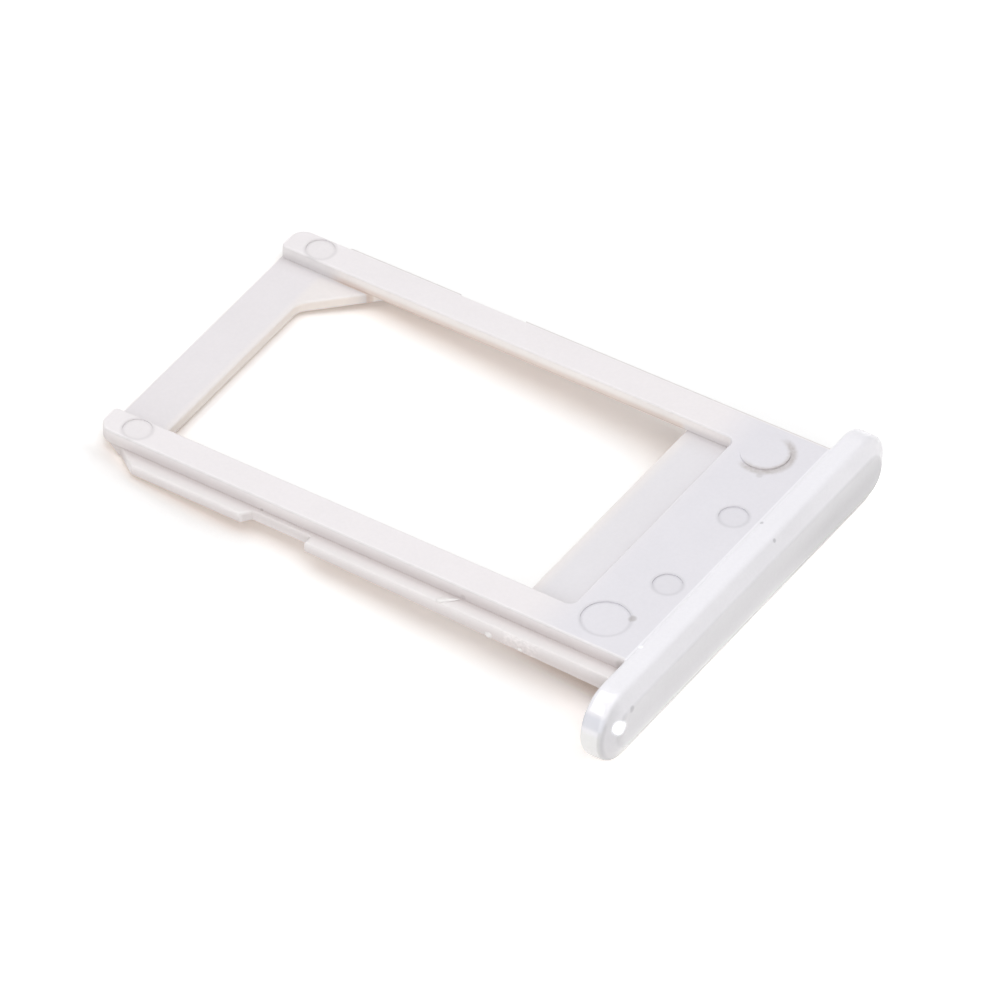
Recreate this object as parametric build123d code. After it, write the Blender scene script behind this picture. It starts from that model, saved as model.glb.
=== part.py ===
from build123d import *
import os

# Card that the pocket takes (mini format)
card_width = 15.0
card_corner = 3.0
card_clearance = 0.3

# Deck: the upper layer, with two rails and a platform round the pocket
deck_length = 32.5
deck_width_front = 19.4
deck_width_rear = 18.8
deck_thickness = 0.8
platform_depth = 4.45
pocket_corner = 0.45
nose_share = 0.5

# Floor: the lower layer, with the front ledge, the rear bar and the guides
floor_thickness = 0.58
floor_thickness_front = 1.0
ledge_depth = 2.95
bar_depth = 2.85
undercut_share = 0.5
opening_corner = 0.5
corner_overlap = 0.35
gusset_radius = 1.0
tip_overhang = 0.8
tip_web = 0.15

# Guides: strips along both sides, each with a detent notch
guide_width = 0.87
guide_lead = 1.25
guide_setback = 0.65
notch_front = 19.0
notch_length = 4.0
notch_depth = 0.55
notch_slant = 0.45

# Fascia: the bar that closes the slot
fascia_length = 27.0
fascia_height = 4.2
fascia_depth = 1.77
bevel_run = 0.5
bevel_drop = 1.0
fascia_step = 0.06
fascia_offset = 0.5

# Ejector-pin marks: size, height and places behind the fascia, from the tray's middle
small_mark = 1.58
big_mark = 2.62
mark_depth = 0.06
mark_rise = 0.1
small_mark_left = (-3.68, 1.27)
small_mark_right = (2.54, 1.25)
big_mark_left = (-7.61, 2.48)
big_mark_right = (7.56, 2.52)
rear_mark_side = 8.5
rear_mark_reach = 1.95

# Edge roundings of the moulding
edge_radius = 0.12
crease_radius = 0.25
bevel_radius = 0.4
fascia_back_radius = 0.3

# Levels and lines worked out from these; the origin is at the middle of the box's base
deck_top = fascia_height - fascia_step
floor_top = deck_top - deck_thickness
floor_bottom = floor_top - floor_thickness
floor_bottom_front = floor_top - floor_thickness_front
fascia_back = -(fascia_depth + deck_length) / 2 + fascia_depth
rear_end = fascia_back + deck_length
pocket_width = card_width + card_clearance
rail_width = (deck_width_rear - pocket_width) / 2
rail_undercut = rail_width * undercut_share
nose_radius = rail_width * nose_share
pocket_front = fascia_back + platform_depth
opening_front = pocket_front + ledge_depth
opening_rear = rear_end - bar_depth
bevel_line = fascia_back - fascia_depth + bevel_run
root = fascia_back - fascia_depth / 3


def half_width(y):
    """Half the deck's width at y: it narrows evenly from the fascia to the rear end."""
    share = (y - fascia_back) / deck_length
    return (deck_width_front + (deck_width_rear - deck_width_front) * share) / 2


def plan(points):
    """A flat face from points given in plan, measured from the tray's middle."""
    return make_face(Polyline([(x + fascia_offset, y) for x, y in points], close=True))


def corner(sketch, x, y):
    """The sketch's corner nearest to a place in plan, measured from the tray's middle."""
    return sketch.vertices().sort_by_distance((x + fascia_offset, y, 0))[0]


def disc(place, diameter, low, high):
    """A short upright cylinder for an ejector-pin mark."""
    x, y = place
    flat = Pos(x + fascia_offset, fascia_back + y, low) * Circle(diameter / 2)
    return extrude(flat, high - low)


def tray_outline():
    """The tapering outline that both layers share, with rounded rear corners."""
    front, rear = half_width(root), half_width(rear_end)
    outline = plan([(-front, root), (front, root), (rear, rear_end), (-rear, rear_end)])
    corners = [corner(outline, side * rear, rear_end) for side in (-1, 1)]
    return fillet(corners, nose_radius)


def deck_plan():
    """The deck: the outline less the card pocket, which is open at the rear."""
    wall = pocket_width / 2
    beyond = rear_end + deck_width_rear
    pocket = plan([(-wall, pocket_front), (wall, pocket_front), (wall, beyond), (-wall, beyond)])
    deck = tray_outline() - pocket
    deck = fillet([corner(deck, side * wall, pocket_front) for side in (-1, 1)], pocket_corner)
    return fillet([corner(deck, side * wall, rear_end) for side in (-1, 1)], nose_radius / 3)


def opening_plan():
    """The through opening: it runs in under both rails, and a gusset fills the card's cut corner."""
    wall = pocket_width / 2 + rail_undercut
    cut = card_corner - corner_overlap + rail_undercut
    opening = plan([
        (-wall, opening_front),
        (wall, opening_front),
        (wall, opening_rear - cut),
        (wall - cut, opening_rear),
        (-wall, opening_rear),
    ])
    gusset = [corner(opening, wall, opening_rear - cut), corner(opening, wall - cut, opening_rear)]
    opening = fillet(gusset, gusset_radius)
    square = [(wall, opening_front), (-wall, opening_front), (-wall, opening_rear)]
    return fillet([corner(opening, x, y) for x, y in square], opening_corner)


def guide_plan(side):
    """One guide strip, from the fascia to a slanted lead at the rear, with its detent notch."""
    tip = rear_end - nose_radius - guide_setback
    lead = tip - guide_lead
    start = fascia_back + notch_front
    end = start + notch_length
    inner = guide_width - notch_depth
    profile = [
        (-guide_width, root),
        (guide_width, root),
        (guide_width, start),
        (inner, start),
        (inner, end - notch_slant),
        (guide_width, end),
        (guide_width, lead),
        (0, tip),
        (-guide_width, tip),
    ]
    return plan([(side * (half_width(y) + reach), y) for reach, y in profile])


def floor_side():
    """The floor seen from the side: even at the rear, then deeper towards the fascia."""
    even = fascia_back + notch_front
    return make_face(Polyline([
        (root, floor_top),
        (root, floor_bottom_front),
        (fascia_back, floor_bottom_front),
        (even, floor_bottom),
        (rear_end, floor_bottom),
        (rear_end, floor_top),
    ], close=True))


def tip_space(side):
    """The space under one rail's tip: the floor ends in a slanted face there, but for a web at the pocket."""
    end = rear_end - tip_overhang
    beyond = rear_end + tip_overhang
    outline = make_face(Polyline([
        (end, floor_top),
        (end - floor_thickness, floor_bottom),
        (beyond, floor_bottom),
        (beyond, floor_top),
    ], close=True))
    inner = pocket_width / 2 + tip_web
    return Pos(fascia_offset + side * inner, 0, 0) * extrude(Plane.YZ * outline, side * inner)


def rim(face):
    """The edges of a level face, without the one that is buried in the fascia."""
    return [edge for edge in face.edges() if edge.center().Y > root + edge_radius]


# Deck, with its top edges rounded
deck = extrude(Pos(0, 0, floor_top) * deck_plan(), deck_thickness)
deck = fillet(rim(deck.faces().sort_by(Axis.Z)[-1]), edge_radius)

# Floor with its guides, rounded above
floor_flat = tray_outline() + guide_plan(-1) + guide_plan(1) - opening_plan()
floor = extrude(Pos(0, 0, floor_bottom_front) * floor_flat, floor_thickness_front)
floor &= extrude(Plane.YZ * floor_side(), fascia_length, both=True)
floor = fillet(rim(floor.faces().sort_by(Axis.Z)[-1]), edge_radius)
floor -= [tip_space(-1), tip_space(1)]

# Fascia: a round-ended bar with a broad bevel round its front
front_plane = Plane.XZ.offset(-fascia_back)
fascia_flat = front_plane * Pos(0, fascia_height / 2) * SlotOverall(fascia_length, fascia_height)
fascia = extrude(fascia_flat, fascia_depth)
front = fascia.faces().sort_by(Axis.Y)[0]
fascia = chamfer(front.edges(), bevel_drop, bevel_run, reference=front)
front = fascia.faces().sort_by(Axis.Y)[0]
fascia = fillet(front.edges(), crease_radius)
brow = fascia.edges().filter_by_position(Axis.Y, bevel_line, bevel_line)
fascia = fillet(brow, bevel_radius)
back = fascia.faces().sort_by(Axis.Y)[-1]
fascia = fillet(back.edges(), fascia_back_radius)

# One moulding
tray = deck + floor + fascia

# Ejector-pin marks: one stands proud beside the far rail, the others are sunk
rear_mark = (rear_mark_side, deck_length - rear_mark_reach)
marks = [
    (small_mark_left, small_mark),
    (small_mark_right, small_mark),
    (big_mark_left, big_mark),
    ((-rear_mark[0], rear_mark[1]), small_mark),
    (rear_mark, small_mark),
]
for place, size in marks:
    tray -= disc(place, size, deck_top - mark_depth, deck_top + mark_depth)
tray += disc(big_mark_right, big_mark, deck_top - mark_depth, deck_top + mark_rise)

os.makedirs("parts", exist_ok=True)
export_step(tray, "parts/sim_tray.step")
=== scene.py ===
import math

import bpy
import numpy as np
from mathutils import Matrix


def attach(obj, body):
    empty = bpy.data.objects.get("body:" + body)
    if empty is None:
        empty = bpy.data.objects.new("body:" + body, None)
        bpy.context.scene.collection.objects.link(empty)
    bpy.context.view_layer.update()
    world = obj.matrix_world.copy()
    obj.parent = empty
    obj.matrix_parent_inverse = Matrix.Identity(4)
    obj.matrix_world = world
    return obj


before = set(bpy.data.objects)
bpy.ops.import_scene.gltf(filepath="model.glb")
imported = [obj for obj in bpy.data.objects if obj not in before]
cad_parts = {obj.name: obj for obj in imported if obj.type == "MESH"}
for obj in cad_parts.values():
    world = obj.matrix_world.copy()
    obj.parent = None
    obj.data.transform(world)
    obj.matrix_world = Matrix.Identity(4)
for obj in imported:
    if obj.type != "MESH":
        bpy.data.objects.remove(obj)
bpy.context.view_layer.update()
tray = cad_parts["sim_tray"]

# Lines and levels of the moulding, in mm
MIDDLE = 0.5
DECK_HALF_WIDTH = 9.7
DECK_TAPER = 0.3 / 32.5
DECK_TOP = 4.14
FLOOR_TOP = 3.34
POCKET_WALL = 7.65
FASCIA_BACK = -15.365
POCKET_FRONT = -10.915
REAR_END = 17.135
REAR_UNDERSIDE = 2.76

# Ejector-pin marks: middle and radius, in mm
PIN_MARKS = [
    (-3.18, -14.095, 0.79),
    (3.04, -14.115, 0.79),
    (-7.11, -12.885, 1.31),
    (-8.0, 15.185, 0.79),
    (9.0, 15.185, 0.79),
]
PROUD_MARK = (8.06, -12.845, 1.31)

# Blemishes, in mm: specks of dirt with their radius and strength, one of them a painted shade in a corner,
# and bright chips with their radius, three of them together a painted highlight
SPECKS_AND_SHADE = [
    ((3.37, -15.59, 4.2), 0.14, 0.6),
    ((2.78, -16.75, 3.97), 0.16, 0.6),
    ((-8.94, 6.83, 3.34), 0.16, 0.6),
    ((-8.67, -0.9, 3.34), 0.14, 0.6),
    ((-11.2, -17.14, 3.13), 0.26, 0.55),
    ((-11.85, -17.14, 3.05), 0.3, 0.12),
    ((-6.36, -14.02, 4.14), 0.3, 0.55),
    ((6.45, -13.5, 4.14), 0.24, 0.3),
    # Painted shade: a dark spot in the corner where the deck's side meets the fascia's back
    ((-9.2, -15.2, 3.55), 0.5, 0.45),
    ((-9.15, -5.55, 3.5), 0.22, 0.3),
]
CHIPS_AND_GLINT = [
    # Painted highlight: these three make one bright, smooth, metallic spot on the fascia's front by its near
    # end
    ((-12.45, -17.135, 2.77), 0.48),
    ((-12.3, -17.135, 2.66), 0.5),
    ((-12.15, -17.135, 2.55), 0.48),
    ((-8.0, -15.57, 4.17), 0.16),
]

# Moulding flash, in mm: a thin sliver from its root to its tip, and lumps with their radius
SLIVER = ((-9.92, -4.42, 3.32), (-9.22, -5.46, 3.4))
LUMPS = [
    (-9.93, -7.68, 2.64, 0.19),
    (-9.96, -9.6, 2.58, 0.12),
]
SLIVER_HALF_WIDTH = 0.22
LUMP_STRETCH = 1.35

# The table: where the fascia's foot touches it, the gap that keeps it off the tray, and its reach, in mm
FASCIA_FOOT = -15.641
TABLE_GAP = 0.004
TABLE_REACH = 1500.0

# The camera: angles in degrees, lens and sensor in mm, distance and sideways and upward aim in mm
AZIMUTH, ELEVATION, ROLL = -56.94, 41.35, 0.11
LENS, SENSOR = 576.0, 36.0
DISTANCE, ASIDE, UPWARD = 823.8, 1.552, 0.524


class Term:
    """A shader value that takes part in formulas: each operator adds a Math node to its tree."""

    def __init__(self, tree, socket=None):
        self.tree = tree
        self.socket = socket

    def node(self, kind, settings=(), inputs=(), out=0):
        """Adds a node, applies its settings, then fills or links its inputs; gives one of its outputs."""
        made = self.tree.nodes.new(kind)
        for name, value in dict(settings).items():
            setattr(made, name, value)
        for place, value in dict(inputs).items():
            if isinstance(value, Term):
                self.tree.links.new(value.socket, made.inputs[place])
            else:
                made.inputs[place].default_value = value
        return Term(self.tree, made.outputs[out] if made.outputs else None)

    def output(self, name):
        """Another output of the node that this value comes from."""
        return Term(self.tree, self.socket.node.outputs[name])

    def math(self, operation, *values):
        return self.node("ShaderNodeMath", {"operation": operation}, enumerate(values))

    def __add__(self, other):
        return self.math("ADD", self, other)

    def __sub__(self, other):
        return self.math("SUBTRACT", self, other)

    def __rsub__(self, other):
        return self.math("SUBTRACT", other, self)

    def __mul__(self, other):
        return self.math("MULTIPLY", self, other)

    __radd__ = __add__
    __rmul__ = __mul__

    def most(self, other):
        return self.math("MAXIMUM", self, other)

    def size(self):
        return self.math("ABSOLUTE", self)

    def rise(self, low, high):
        """0 at low and 1 at high, with a smooth step between; low may be the greater of the two."""
        ends = {"Value": self, "From Min": low, "From Max": high}
        return self.node("ShaderNodeMapRange", {"interpolation_type": "SMOOTHSTEP"}, ends)

    def slope(self, low, high):
        """0 at low and 1 at high, with a straight slope between."""
        return self.node("ShaderNodeMapRange", {}, {"Value": self, "From Min": low, "From Max": high})

    def scaled(self, factors):
        """A vector times one number for each axis."""
        return self.node("ShaderNodeVectorMath", {"operation": "MULTIPLY"}, {0: self, 1: factors})

    def dimmed(self, factor):
        """A colour made lighter or darker by a number."""
        grey = self.node("ShaderNodeCombineXYZ", {}, {0: factor, 1: factor, 2: factor})
        return self.scaled(grey)

    def distance(self, point):
        """How far a vector is from a point."""
        made = self.node("ShaderNodeVectorMath", {"operation": "DISTANCE"}, {0: self, 1: point})
        return made.output("Value")

    def spot(self, point, inner, outer):
        """1 within the inner radius of a point, falling to 0 at the outer radius."""
        return self.distance(point).rise(outer, inner)

    def noise(self, scale, detail=2.0, roughness=0.5):
        """Noise from 0 to 1 over a vector in mm, with scale lumps to the mm."""
        inputs = {"Vector": self, "Scale": scale, "Detail": detail, "Roughness": roughness}
        return self.node("ShaderNodeTexNoise", {}, inputs)

    def tint(self, low, high):
        """A colour that goes from low at 0 to high at 1."""
        inputs = {0: self, 6: low, 7: high}
        return self.node("ShaderNodeMix", {"data_type": "RGBA"}, inputs, out=2)

    def bump(self, depth):
        """A normal pressed in by a height of 0 to 1, with a depth in mm."""
        inputs = {"Height": self, "Strength": 1.0, "Distance": depth / 1000}
        return self.node("ShaderNodeBump", {}, inputs)


def colour(red, green, blue):
    return (red, green, blue, 1.0)


def new_material(name):
    """An empty material and the first term of its tree."""
    made = bpy.data.materials.new(name)
    made.use_nodes = True
    made.node_tree.nodes.clear()
    return made, Term(made.node_tree)


def moulding_finish():
    """Off-white moulded plastic, with a coat of pearl paint on everything in front of the fascia's back."""
    made, start = new_material("moulding_finish")
    place = start.node("ShaderNodeTexCoord").output("Object").scaled((1000, 1000, 1000))
    plan = place.scaled((1, 1, 0))
    x = place.node("ShaderNodeSeparateXYZ", {}, {0: place})
    y, z = x.output("Y"), x.output("Z")
    cloud = place.noise(0.35, 3.0)
    grain = place.noise(5.0, 2.0)

    # Distances in plan: out from the deck's side, in from the pocket's wall, behind the platform's edge
    side = (x - MIDDLE).size()
    beyond = side - DECK_HALF_WIDTH + (y - FASCIA_BACK) * DECK_TAPER
    inwards = POCKET_WALL - side
    behind = y - POCKET_FRONT
    floor_level = z.rise(FLOOR_TOP + 0.08, FLOOR_TOP + 0.02)
    front_half = y.rise(5.0, -5.0)
    on_floor = y.rise(-7.6, -8.0).most(y.rise(13.0, 14.3))

    # Painted shade beside the deck: down its side, out over the groove, and down the guides' and notches'
    # faces
    deck_side = z.rise(DECK_TOP, 4.0) * 0.1 + z.rise(DECK_TOP, 3.45) * (0.56 + front_half * 0.1)
    deck_side = deck_side * beyond.rise(-0.5, -0.2) * beyond.rise(0.12, 0.04) * z.rise(3.25, 3.35)
    groove = floor_level * beyond.rise(0.75, -0.05) * beyond.rise(-0.1, 0.0)
    guide_face = z.slope(FLOOR_TOP, 2.65) * beyond.rise(0.8, 0.86) * (1.12 - front_half * 0.24)
    notch = y.rise(3.6, 3.7) * y.rise(7.65, 7.5) * z.rise(3.3, 3.15) * beyond.rise(0.2, 0.3) * 0.6
    rough = y.rise(-11.0, -10.2) * y.rise(-8.2, -8.8) * beyond.rise(0.8, 0.86) * x.rise(0.0, -1.0)
    outer_painted_shade = deck_side.most(groove).most(guide_face).most(notch)

    # Painted shade in the pocket: low on its walls, and fading out over the ledge, the bar and the
    # platform's foot
    inner_wall = inwards.rise(-0.25, -0.1) * inwards.rise(0.12, 0.04) * behind.rise(-0.1, 0.0)
    pocket_wall = z.rise(3.9, 3.4) * inner_wall * on_floor * 0.55
    pocket_floor = (1.0 - inwards * (0.9 - front_half * 0.3)).most(0.0)
    pocket_floor = pocket_floor * pocket_floor * (0.85 + front_half * 0.15)
    pocket_floor = pocket_floor * floor_level * inwards.rise(-0.1, 0.0)
    step_foot = (1.0 - behind * 1.25).most(0.0)
    step_foot = step_foot * step_foot * behind.rise(-0.1, 0.0) * z.rise(3.7, 3.4)
    step_foot = step_foot * side.rise(7.8, 7.6) * 0.7
    pocket_painted_shade = pocket_wall.most(pocket_floor).most(step_foot)

    # Painted warm shade low on the walls over the opening, and a painted warm glow on the edges of the floor
    # round it
    opening_wall_shade = z.rise(3.85, 3.4) * inner_wall * (1.0 - on_floor) * 0.67
    opening_edge_glow = z.rise(FLOOR_TOP, 3.22) * z.rise(2.78, 2.84) * beyond.rise(-0.3, -0.6)
    ledge_end = y.rise(-8.8, -8.0) * front_half
    bar_end = y.rise(14.8, 14.3) * (1.0 - front_half)
    edge_glow = ledge_end.most(bar_end) * floor_level * inwards.rise(0.0, 0.3) * 0.6

    # Pin marks: a soft line round each, a duller face on the small ones, and a dark crescent of painted
    # shade by the proud one
    rings, faces = None, None
    for mx, my, radius in PIN_MARKS:
        away = plan.distance((mx, my, 0))
        ring = (away - radius).size().rise(0.2, 0.0)
        face = away.rise(radius + 0.05, radius - 0.15) * (0.03 if radius < 1 else 0.0)
        rings = ring if rings is None else rings.most(ring)
        faces = face if faces is None else faces.most(face)
    px, py, radius = PROUD_MARK
    lean = (px - x) * 0.4 + (py - y)
    rim = (plan.distance((px, py, 0)) - radius - 0.1).size()
    crescent_shade = rim.rise(0.36, 0.04) * lean.rise(-0.5, 0.4)
    deck = z.rise(4.0, 4.07)
    dents = deck * (rings * 0.12 + faces)
    crescent_shade = crescent_shade * deck * (0.25 + grain * 0.7)

    # Rounded edges: painted shade makes them a little duller than the flats on the near sides, damping their
    # highlight, and painted light makes them paler where they turn away
    rounding = z.rise(3.98, 4.06) * z.rise(DECK_TOP, 4.11)
    outer_edge = beyond.rise(-0.13, -0.05) * x.rise(1.0, 0.0) * 0.12
    inner_edge = inner_wall * x.rise(0.0, 1.0) * 0.06
    far_edge = beyond.rise(-0.13, -0.05) * x.rise(0.0, 1.0)
    rear_edge = y.rise(REAR_END - 0.14, REAR_END - 0.06)
    step_edge = behind.rise(-0.14, -0.06) * behind.rise(0.1, 0.04) * side.rise(7.5, 7.2) * 0.5
    painted_edge_light = (far_edge.most(step_edge) * z.rise(3.98, 4.06)).most(rear_edge) * 0.12
    rounded_edge_light_and_shade = rounding * outer_edge.most(inner_edge) - painted_edge_light

    # Plastic: cooler on the platform, duller on the floor and darker on the guides' tops; painted light
    # makes the rails' walls lighter and warmer, most at the front, though darker by the bar; the painted
    # glow on the edges and the painted shade follow
    platform = y.rise(POCKET_FRONT + 2.0, POCKET_FRONT - 1.0)
    outside = beyond.rise(-0.2, 0.0)
    guide_top = beyond.rise(0.05, 0.15) * z.rise(3.2, 3.3)
    wall_painted_light = front_half.tint(colour(0.835, 0.797, 0.785), colour(0.882, 0.845, 0.832))
    wall_painted_light = y.rise(13.0, 14.3).tint(wall_painted_light, colour(0.755, 0.732, 0.735))
    plastic = platform.tint(colour(0.775, 0.743, 0.756), colour(0.696, 0.682, 0.721))
    floor_colour = front_half.tint(colour(0.728, 0.698, 0.716), colour(0.7, 0.684, 0.71))
    plastic = floor_level.tint(plastic, floor_colour)
    plastic = edge_glow.tint(plastic, colour(0.79, 0.745, 0.72))
    plastic = (inner_wall * z.rise(4.12, 4.0)).tint(plastic, wall_painted_light)
    plastic = outside.tint(plastic, colour(0.785, 0.757, 0.768))
    plastic = guide_top.tint(plastic, colour(0.72, 0.69, 0.69))
    plastic = opening_edge_glow.tint(plastic, colour(0.835, 0.765, 0.72))
    plastic = outer_painted_shade.tint(plastic, colour(0.58, 0.532, 0.527))
    plastic = pocket_painted_shade.tint(plastic, colour(0.57, 0.54, 0.548))
    plastic = opening_wall_shade.tint(plastic, colour(0.62, 0.49, 0.42))
    plastic = crescent_shade.tint(plastic, colour(0.42, 0.38, 0.36))
    uneven = (cloud - 0.5) * 0.05 + (grain - 0.5) * (0.05 + rough * 0.4)
    plastic = plastic.dimmed(1.0 + rough * 0.06 - uneven - dents - rounded_edge_light_and_shade)

    # Paint: a pale pearl with a fine grain. Painted shade makes it greyer on the front, most towards the far
    # end low down, on the bevel's top, and round the near end, with its bevel, its brow line and a band
    # under its highlight; painted light makes the bevel's far part lighter and the foot paler, though the
    # foot turns darker towards the far end; the near end's lower flat is a little warmer
    front = y.rise(-17.04, -17.13)
    near_end = x.rise(-11.6, -12.8)
    end_bevel = near_end * y.rise(-16.55, -16.75)
    brow_line = near_end * (y + 16.6).size().rise(0.2, 0.05) * z.rise(3.4, 3.0)
    fascia_painted_light_and_shade = front * (z.rise(0.9, 2.2) * 0.08 + 0.03)
    fascia_painted_light_and_shade = fascia_painted_light_and_shade + front * x.rise(2.0, 8.0) * z.rise(3.2, 1.6) * 0.12
    fascia_painted_light_and_shade = fascia_painted_light_and_shade + y.rise(-16.6, -16.75) * z.rise(3.3, 3.5) * 0.02
    fascia_painted_light_and_shade = fascia_painted_light_and_shade - y.rise(-16.6, -16.75) * (1.0 - front) * x.rise(3.0, 10.0) * 0.06
    fascia_painted_light_and_shade = fascia_painted_light_and_shade + near_end * 0.03 + near_end * z.rise(2.6, 3.0) * 0.03
    fascia_painted_light_and_shade = fascia_painted_light_and_shade + end_bevel * 0.13 + brow_line * 0.22
    under_glint_shade = near_end * z.rise(3.6, 3.35) * z.rise(2.7, 2.95) * y.rise(-16.75, -16.55)
    paint = grain.tint(colour(0.757, 0.747, 0.785), colour(0.807, 0.797, 0.833))
    paint = paint.dimmed(1.0 - fascia_painted_light_and_shade - (cloud - 0.5) * 0.05)
    paint = under_glint_shade.tint(paint, colour(0.6, 0.605, 0.655))
    foot_painted_light_and_shade = x.rise(2.0, 8.0).tint(colour(0.86, 0.86, 0.86), colour(0.62, 0.615, 0.62))
    paint = (z.rise(1.45, 0.85) * x.rise(-12.4, -11.6)).tint(paint, foot_painted_light_and_shade)
    end_flat = near_end * y.rise(-16.7, -16.5) * z.rise(2.7, 2.4)
    paint = end_flat.tint(paint, paint.scaled((0.97, 0.98, 0.94)))

    # Specks of dirt and a spot of painted shade, and bright chips in the paint, three of them a painted
    # highlight
    specks_and_shade, chips_and_glint = None, None
    for point, radius, strength in SPECKS_AND_SHADE:
        dark_spot = place.spot(point, radius * 0.4, radius) * strength
        specks_and_shade = dark_spot if specks_and_shade is None else specks_and_shade.most(dark_spot)
    for point, radius in CHIPS_AND_GLINT:
        bright_spot = place.spot(point, radius * 0.55, radius)
        chips_and_glint = bright_spot if chips_and_glint is None else chips_and_glint.most(bright_spot)
    plastic = specks_and_shade.tint(plastic, colour(0.36, 0.33, 0.32))
    paint = specks_and_shade.tint(paint, colour(0.36, 0.35, 0.38))
    paint = chips_and_glint.tint(paint, colour(0.95, 0.97, 1.0))

    skin = start.node("ShaderNodeBsdfPrincipled", {}, {
        "Base Color": plastic,
        "Roughness": 0.5 + (grain - 0.5) * 0.12,
        "IOR": 1.5,
        "Normal": (grain * (0.6 + rough * 6.0) + cloud * 0.4).bump(0.006),
    })
    coat = start.node("ShaderNodeBsdfPrincipled", {}, {
        "Base Color": paint,
        "Roughness": 0.38 - chips_and_glint * z.rise(3.6, 3.4) * 0.3,
        "IOR": 1.5,
        "Metallic": chips_and_glint,
        "Coat Weight": y.rise(-15.45, -15.65) * 0.8,
        "Coat Roughness": 0.04,
        "Normal": grain.bump(0.002),
    })
    painted = y.rise(FASCIA_BACK + 0.03, FASCIA_BACK - 0.03)
    both = start.node("ShaderNodeMixShader", {}, {0: painted, 1: skin, 2: coat})
    start.node("ShaderNodeOutputMaterial", {}, {"Surface": both})
    return made


def flash_finish():
    """The moulding's flash: the same plastic, thin and pale, with a slight grain."""
    made, start = new_material("flash_finish")
    place = start.node("ShaderNodeTexCoord").output("Object").scaled((1000, 1000, 1000))
    grain = place.noise(6.0, 2.0)
    skin = start.node("ShaderNodeBsdfPrincipled", {}, {
        "Base Color": grain.tint(colour(0.68, 0.655, 0.65), colour(0.78, 0.755, 0.75)),
        "Roughness": 0.45 + (grain - 0.5) * 0.12,
        "IOR": 1.5,
        "Normal": grain.bump(0.01),
    })
    start.node("ShaderNodeOutputMaterial", {}, {"Surface": skin})
    return made


def ball_faces(rings, sides):
    """Faces of a closed skin: rows of points between two poles, the first and the last point."""
    row, col = np.meshgrid(np.arange(rings - 1), np.arange(sides), indexing="ij")
    after = (col + 1) % sides
    first, second = 1 + row * sides, 1 + (row + 1) * sides
    quads = np.stack([first + col, second + col, second + after, first + after], axis=-1).reshape(-1, 4)
    col, after = np.arange(sides), (np.arange(sides) + 1) % sides
    end = 1 + rings * sides
    last = 1 + (rings - 1) * sides
    top = np.stack([np.zeros_like(col), 1 + col, 1 + after], axis=-1)
    foot = np.stack([np.full_like(col, end), last + after, last + col], axis=-1)
    return quads.tolist() + top.tolist() + foot.tolist()


def flash_piece(name, points, finish):
    """A closed skin over rows of points, which rides on the tray."""
    rings, sides = points[1].shape[:2]
    flat = np.concatenate([points[0][None], points[1].reshape(-1, 3), points[2][None]]) / 1000
    mesh = bpy.data.meshes.new(name)
    mesh.from_pydata(flat.tolist(), [], ball_faces(rings, sides))
    mesh.polygons.foreach_set("use_smooth", np.ones(len(mesh.polygons), dtype=bool))
    mesh.materials.append(finish)
    piece = bpy.data.objects.new(name, mesh)
    bpy.context.scene.collection.objects.link(piece)
    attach(piece, "root")


def cut_sliver(finish):
    """The sliver: with t from 0 at the root to 1 at the tip, its half-width is 0.22 mm times the 0.7th power
    of 1 - t, rounded off at the root by the square root of 6t; it is half as thick, and lies straight."""
    root, tip = (np.array(v) for v in SLIVER)
    along = (tip - root) / np.linalg.norm(tip - root)
    across = np.cross(along, [0.0, 0.0, 1.0])
    across /= np.linalg.norm(across)
    upright = np.cross(across, along)
    t = np.linspace(0.04, 0.97, 14)[:, None, None]
    turn = np.linspace(0.0, 2 * np.pi, 12, endpoint=False)[None, :, None]
    radius = SLIVER_HALF_WIDTH * np.sqrt(np.minimum(t * 6, 1.0)) * (1.0 - t) ** 0.7
    middle = root + t * (tip - root)
    rows = middle + radius * (np.cos(turn) * across - 0.5 * np.sin(turn) * upright)
    flash_piece("flash_sliver", (root, rows, tip), finish)


def set_lumps(finish):
    """The lumps: balls stretched by a third along the guide, half sunk in its face."""
    high = np.linspace(0.0, np.pi, 9)[1:-1, None]
    turn = np.linspace(0.0, 2 * np.pi, 14, endpoint=False)[None, :]
    ball = np.stack([
        np.sin(high) * np.cos(turn),
        LUMP_STRETCH * np.sin(high) * np.sin(turn),
        np.cos(high) + 0.0 * turn,
    ], axis=-1)
    for number, (lx, ly, lz, radius) in enumerate(LUMPS):
        middle = np.array([lx, ly, lz])
        pole = np.array([0.0, 0.0, radius])
        flash_piece(f"flash_lump_{number}", (middle + pole, middle + radius * ball, middle - pole), finish)


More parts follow.
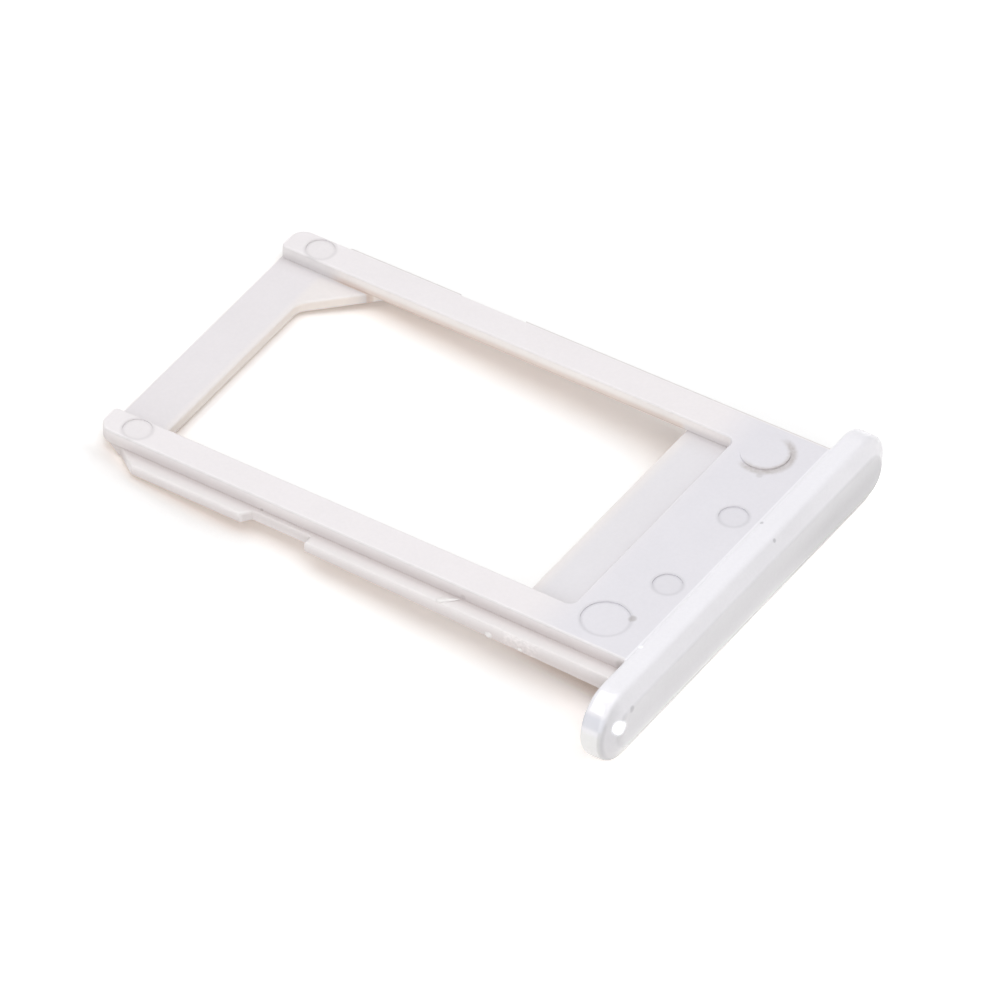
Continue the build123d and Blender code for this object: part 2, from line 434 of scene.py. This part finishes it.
def table_finish():
    """White table: matt, a clean white to what sees it, with a warm shade where the tray covers its sky."""
    made, start = new_material("table_finish")
    path = start.node("ShaderNodeLightPath")
    geometry = start.node("ShaderNodeNewGeometry")
    across = start.node("ShaderNodeSeparateXYZ", {}, {0: geometry.output("Position")})
    along = across.output("Y")
    covered = start.node("ShaderNodeAmbientOcclusion", {"samples": 4}, {"Distance": 0.004}).output("AO")
    behind_fascia = along.rise(-0.0164, -0.015)
    under_tray = covered.rise(0.7, 0.34) * behind_fascia
    before_fascia = covered.rise(0.95, 0.4) * (1.0 - behind_fascia)
    far_off = geometry.output("Position").distance((0, 0, 0)).rise(0.018, 0.04)
    near_side = across.rise(-0.0085, -0.0095)
    near_end = across.rise(-0.0105, -0.0125) * covered.rise(0.4, 0.1)
    front_part = along.rise(-0.005, -0.011)
    rear_part = along.rise(0.004, 0.012)
    depth = covered.rise(0.34, 0.08)

    # Colour of the shade, and how far it is lifted towards white for the camera and for reflections
    rear_shade = covered.rise(1.0, 0.65) * along.rise(0.002, 0.012) * near_side
    shade = rear_shade.tint(colour(0.98, 0.98, 0.98), colour(0.7, 0.675, 0.665))
    open_shade = front_part.tint(colour(1.0, 0.893, 0.82), colour(1.0, 0.905, 0.851))
    deep_shade = front_part.tint(colour(1.0, 0.866, 0.78), colour(0.92, 0.77, 0.68))
    shade = under_tray.tint(shade, depth.tint(open_shade, deep_shade))
    # Painted shadow: a darker band close beside the near guide's front part
    inner_band = across.rise(-0.0089, -0.0081) * across.rise(-0.006, -0.0075)
    inner_band = inner_band * along.rise(-0.006, -0.011) * along.rise(-0.0155, -0.0125)
    shade = inner_band.tint(shade, shade.scaled((0.82, 0.77, 0.72)))
    front_shade = near_end.tint(colour(1.0, 0.98, 0.97), colour(1.0, 0.92, 0.87))
    shade = before_fascia.tint(shade, front_shade)
    open_lift = 0.125 + front_part * 0.09
    deep_lift = (0.07 + rear_part * 0.09) * (1.0 - front_part)
    lift = under_tray * (open_lift * (1.0 - depth) + deep_lift * depth)
    # Painted light: a band further out beside the near guide, tinted warm towards the fascia and lifted
    # towards white
    outer_band = across.rise(-0.0086, -0.0094) * across.rise(-0.0115, -0.0098)
    outer_band = outer_band * along.rise(-0.003, -0.006) * behind_fascia
    shade = (outer_band * along.rise(-0.011, -0.0145)).tint(shade, colour(0.98, 0.935, 0.92))
    lift = lift + outer_band * (0.04 + along.rise(-0.008, -0.0145) * 0.11)
    lift = lift + before_fascia * (0.65 - near_end * 0.35)
    camera = path.output("Is Camera Ray")
    lift = lift * (0.35 + camera * 0.65) + far_off * 0.42
    seen = camera.most(path.output("Is Glossy Ray")).most(path.output("Is Transmission Ray"))
    plain = start.node("ShaderNodeBsdfDiffuse", {}, {"Color": colour(0.92, 0.9, 0.87)})
    shaded = start.node("ShaderNodeBsdfDiffuse", {}, {"Color": shade})
    glow = start.node("ShaderNodeEmission", {}, {"Color": shade.dimmed(lift)})
    lifted = start.node("ShaderNodeAddShader", {}, {0: shaded, 1: glow})
    top = start.node("ShaderNodeMixShader", {}, {0: seen, 1: plain, 2: lifted})
    clear = start.node("ShaderNodeBsdfTransparent")
    both = start.node("ShaderNodeMixShader", {}, {0: geometry.output("Backfacing"), 1: top, 2: clear})
    start.node("ShaderNodeOutputMaterial", {}, {"Surface": both})
    return made


def lay_table():
    """The table top: one flat square that touches the fascia's foot and the rear end's underside."""
    slope = REAR_UNDERSIDE / (REAR_END - FASCIA_FOOT)
    ends = [-TABLE_REACH, TABLE_REACH]
    across, along = np.meshgrid(ends, ends)
    height = (along - FASCIA_FOOT) * slope - TABLE_GAP
    points = np.stack([across, along, height], axis=-1).reshape(-1, 3) / 1000
    mesh = bpy.data.meshes.new("table_top")
    mesh.from_pydata(points.tolist(), [], [(0, 1, 3, 2)])
    table = bpy.data.objects.new("table_top", mesh)
    bpy.context.scene.collection.objects.link(table)
    mesh.materials.append(table_finish())


def hang_lamp(name, towards, distance, width, height, level):
    """A soft rectangular lamp that faces the tray; its power is pi times its area times its level."""
    lamp = bpy.data.lights.new(name, "AREA")
    lamp.shape = "RECTANGLE"
    lamp.size = width
    lamp.size_y = height
    lamp.energy = math.pi * width * height * level
    holder = bpy.data.objects.new(name, lamp)
    bpy.context.scene.collection.objects.link(holder)
    towards = np.array(towards) / np.linalg.norm(towards)
    side = np.cross([0.0, 1.0, 0.0], towards)
    side /= np.linalg.norm(side)
    turn = np.eye(4)
    turn[:3, 0], turn[:3, 1], turn[:3, 2] = side, np.cross(towards, side), towards
    turn[:3, 3] = towards * distance
    holder.matrix_world = Matrix(turn.tolist())


def light_room():
    """A white tent: a soft lamp overhead, a panel at the near side and a thin lamp behind."""
    world = bpy.data.worlds.new("light_tent")
    bpy.context.scene.world = world
    world.use_nodes = True
    world.node_tree.nodes.clear()
    start = Term(world.node_tree)
    path = start.node("ShaderNodeLightPath")
    seen = path.output("Is Camera Ray").most(path.output("Is Glossy Ray"))
    seen = seen.most(path.output("Is Transmission Ray"))
    sky = start.node("ShaderNodeBackground", {}, {"Color": colour(1, 1, 1), "Strength": 0.5 + seen * 0.5})
    start.node("ShaderNodeOutputWorld", {}, {"Surface": sky})
    hang_lamp("overhead", (0.0, -0.16, 0.98), 0.6, 0.6, 0.6, 1.58)
    hang_lamp("side_panel", (-0.85, -0.3, 0.35), 0.25, 0.25, 0.2, 1.3)
    hang_lamp("strip_lamp", (-0.2, 0.41, 0.89), 0.7, 1.0, 0.05, 6.5)


def place_camera():
    """A long lens at the photograph's angle, its aim shifted along the picture's own axes."""
    azimuth, elevation, roll = (math.radians(angle) for angle in (AZIMUTH, ELEVATION, ROLL))
    back = np.array([
        math.sin(azimuth) * math.cos(elevation),
        -math.cos(azimuth) * math.cos(elevation),
        math.sin(elevation),
    ])
    level = np.array([math.cos(azimuth), math.sin(azimuth), 0.0])
    upright = np.cross(back, level)
    right = math.cos(roll) * level + math.sin(roll) * upright
    up = -math.sin(roll) * level + math.cos(roll) * upright
    lens = bpy.data.cameras.new("camera")
    lens.sensor_width = SENSOR
    lens.lens = LENS
    lens.clip_start = 0.05
    lens.clip_end = 20.0
    camera = bpy.data.objects.new("camera", lens)
    bpy.context.scene.collection.objects.link(camera)
    turn = np.eye(4)
    turn[:3, 0], turn[:3, 1], turn[:3, 2] = right, up, back
    turn[:3, 3] = (back * DISTANCE + right * ASIDE + up * UPWARD) / 1000
    camera.matrix_world = Matrix(turn.tolist())
    bpy.context.scene.camera = camera


tray.data.materials.clear()
tray.data.materials.append(moulding_finish())
flash = flash_finish()
cut_sliver(flash)
set_lumps(flash)
lay_table()
light_room()
place_camera()
bpy.context.scene.view_settings.view_transform = "Standard"
